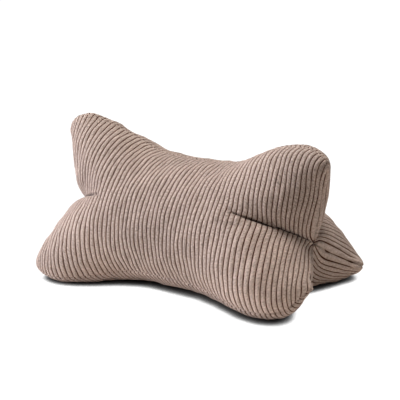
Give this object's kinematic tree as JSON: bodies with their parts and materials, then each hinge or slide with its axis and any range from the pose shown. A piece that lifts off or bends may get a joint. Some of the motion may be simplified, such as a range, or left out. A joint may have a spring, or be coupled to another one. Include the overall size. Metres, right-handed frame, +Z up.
{
  "type": "reading pillow",
  "caption": "Bone-shaped reading pillow of wide-wale corduroy, three darted panels sewn and filled, with a waist that cradles the neck or a book and soft knobs to stand on.",
  "frame": {"origin": "middle of the bounding box in plan, on the surface that the pillow stands on", "axes": "+X along the pillow, the front panel faces -Y and up, +Z up"},
  "size_m": [0.422, 0.2388, 0.2171],
  "materials": {
    "corduroy": "taupe wide-wale corduroy, soft matt pile with a slight sheen"
  },
  "bodies": {
    "root": {"pillow": "corduroy"}
  },
  "joints": []
}
